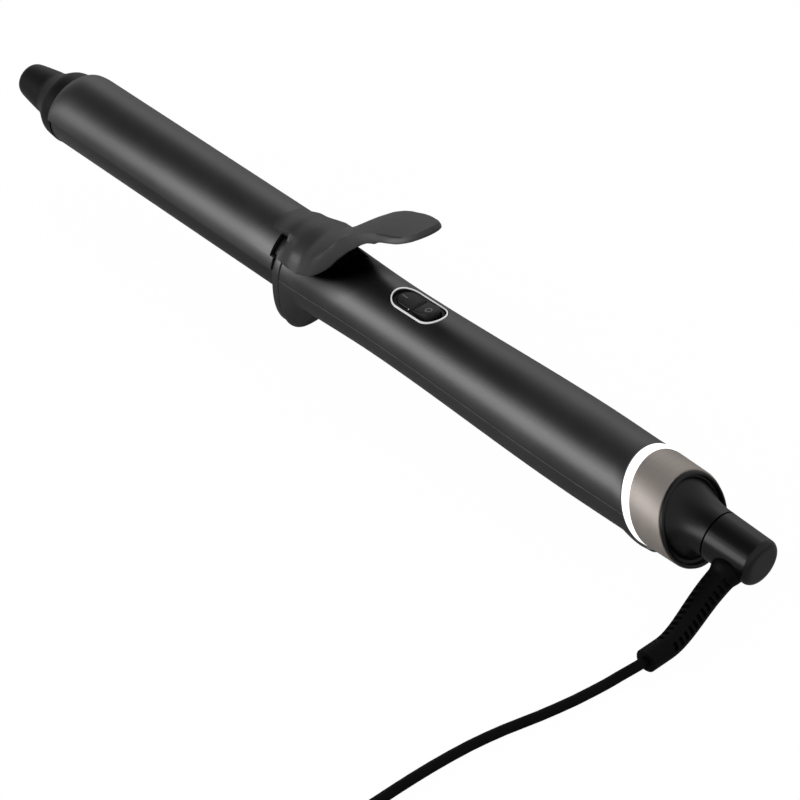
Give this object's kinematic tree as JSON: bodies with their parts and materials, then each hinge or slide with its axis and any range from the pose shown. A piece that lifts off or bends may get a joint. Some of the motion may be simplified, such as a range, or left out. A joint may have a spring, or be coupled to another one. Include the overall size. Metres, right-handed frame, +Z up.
{
  "type": "curling tong",
  "caption": "Hair curling tong with a heated barrel, sprung clip, thumb lever, rocker switch, stand feet, lit ring and a swivelling cord with its coil and plug.",
  "frame": {"origin": "middle of the tool's footprint on the table, without the cord: halfway from the tip's end to the swivel's end, at the height of the two feet", "axes": "+X along the tool from the tip to the cord end, +Z up through the thumb pad, -Y towards the cord"},
  "size_m": [0.4607, 0.2562, 0.0694],
  "materials": {
    "barrel_coating": "satin black ceramic coating on an aluminium tube",
    "clip_coating": "satin black coating on pressed sheet",
    "satin_black": "satin black moulding",
    "charcoal": "matte charcoal moulding",
    "handle_black": "satin black moulding",
    "matte_black": "matte black",
    "bright_trim": "bright ring",
    "band_metal": "warm brushed metal",
    "ring_white": "lit white",
    "plain_steel": "plain steel",
    "aluminium": "plain aluminium",
    "brass": "plain brass",
    "ceramic": "white ceramic",
    "board_green": "circuit board",
    "grey_plastic": "heat-resistant moulding",
    "cord_rubber": "matte black sheath"
  },
  "bodies": {
    "handle": {"barrel": "barrel_coating", "cool_tip": "satin_black", "heater_plate": "ceramic", "heat_spreader_upper": "aluminium", "heat_spreader_lower": "aluminium", "thermal_fuse": "plain_steel", "temperature_sensor": "ceramic", "barrel_bush": "grey_plastic", "hinge_bracket": "plain_steel", "hinge_pin": "plain_steel", "lever_spring": "plain_steel", "front_collar": "handle_black", "handle_upper_shell": "handle_black", "handle_lower_shell": "handle_black", "shell_screw_front": "plain_steel", "shell_screw_middle": "plain_steel", "shell_screw_rear": "plain_steel", "switch_bezel": "bright_trim", "switch_body": "matte_black", "indicator_lens": "ring_white", "circuit_board": "board_green", "power_module": "matte_black", "buzzer": "matte_black", "capacitor": "aluminium", "light_ring": "ring_white", "light_board": "board_green", "metal_band": "band_metal", "end_cone": "satin_black", "brush_carrier": "grey_plastic", "contact_brush_inner": "brass", "contact_brush_outer": "brass"},
    "clip_lever": {"clip_plate": "clip_coating", "thumb_lever": "charcoal", "clip_hinge_arm": "plain_steel", "lever_screw_front": "plain_steel", "lever_screw_rear": "plain_steel"},
    "rocker_cap": {"rocker": "matte_black"},
    "cord_swivel": {"swivel_housing": "satin_black", "swivel_retainer": "plain_steel", "contact_disc": "brass", "strain_relief": "cord_rubber", "cord": "cord_rubber", "cord_coil": "cord_rubber", "cord_tail": "cord_rubber", "cord_tie": "matte_black", "plug_body": "matte_black", "plug_pin_left": "brass", "plug_pin_right": "brass"}
  },
  "joints": [
    {"name": "clip_hinge", "type": "hinge", "parent": "handle", "child": "clip_lever", "pos_m": [-0.01056, 0, 0.03194], "axis": [0, 1, 0], "range_deg": [0, 26], "stiffness_Nm_per_rad": 0.33, "springref_deg": -34.38},
    {"name": "rocker_hinge", "type": "hinge", "parent": "handle", "child": "rocker_cap", "pos_m": [0.02881, 0, 0.03259], "axis": [0, 1, 0], "range_deg": [0, 14]},
    {"name": "cord_swivel_turn", "type": "hinge", "parent": "handle", "child": "cord_swivel", "pos_m": [0.1729, 0, 0.01576], "axis": [0.999, 0, -0.0445], "continuous": true}
  ]
}
